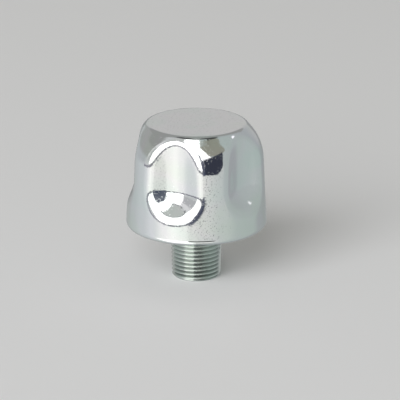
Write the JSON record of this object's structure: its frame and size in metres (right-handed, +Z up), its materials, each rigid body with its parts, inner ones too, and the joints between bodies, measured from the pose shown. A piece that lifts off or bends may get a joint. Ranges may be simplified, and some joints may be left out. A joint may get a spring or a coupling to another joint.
{
  "type": "hydraulic filler breather",
  "caption": "Fluted sheet-steel cap over a filter element, on a threaded nipple, that lets a hydraulic reservoir breathe and closes its filler hole.",
  "frame": {"origin": "centre of the nipple's end face, on the axis", "axes": "+Z up along the axis from the nipple's end to the cap's crown; -Y through the middle of one finger flute"},
  "size_m": [0.0474, 0.0474, 0.054],
  "materials": {
    "plated_sheet": "polished",
    "plated_turned": "satin",
    "tinned_sheet": "satin",
    "spring_strip": "satin",
    "nitrile_rubber": "matte",
    "potting": "satin",
    "filter_paper": "matte"
  },
  "bodies": {
    "root": {"cap": "plated_sheet", "base_plate": "plated_sheet", "nipple": "plated_turned", "lower_gasket": "nitrile_rubber", "lower_end_cap": "tinned_sheet", "lower_potting": "potting", "filter_media": "filter_paper", "seam_clip": "tinned_sheet", "element_core": "tinned_sheet", "upper_potting": "potting", "upper_end_cap": "tinned_sheet", "element_spring": "spring_strip", "splash_baffle": "tinned_sheet"}
  },
  "joints": []
}
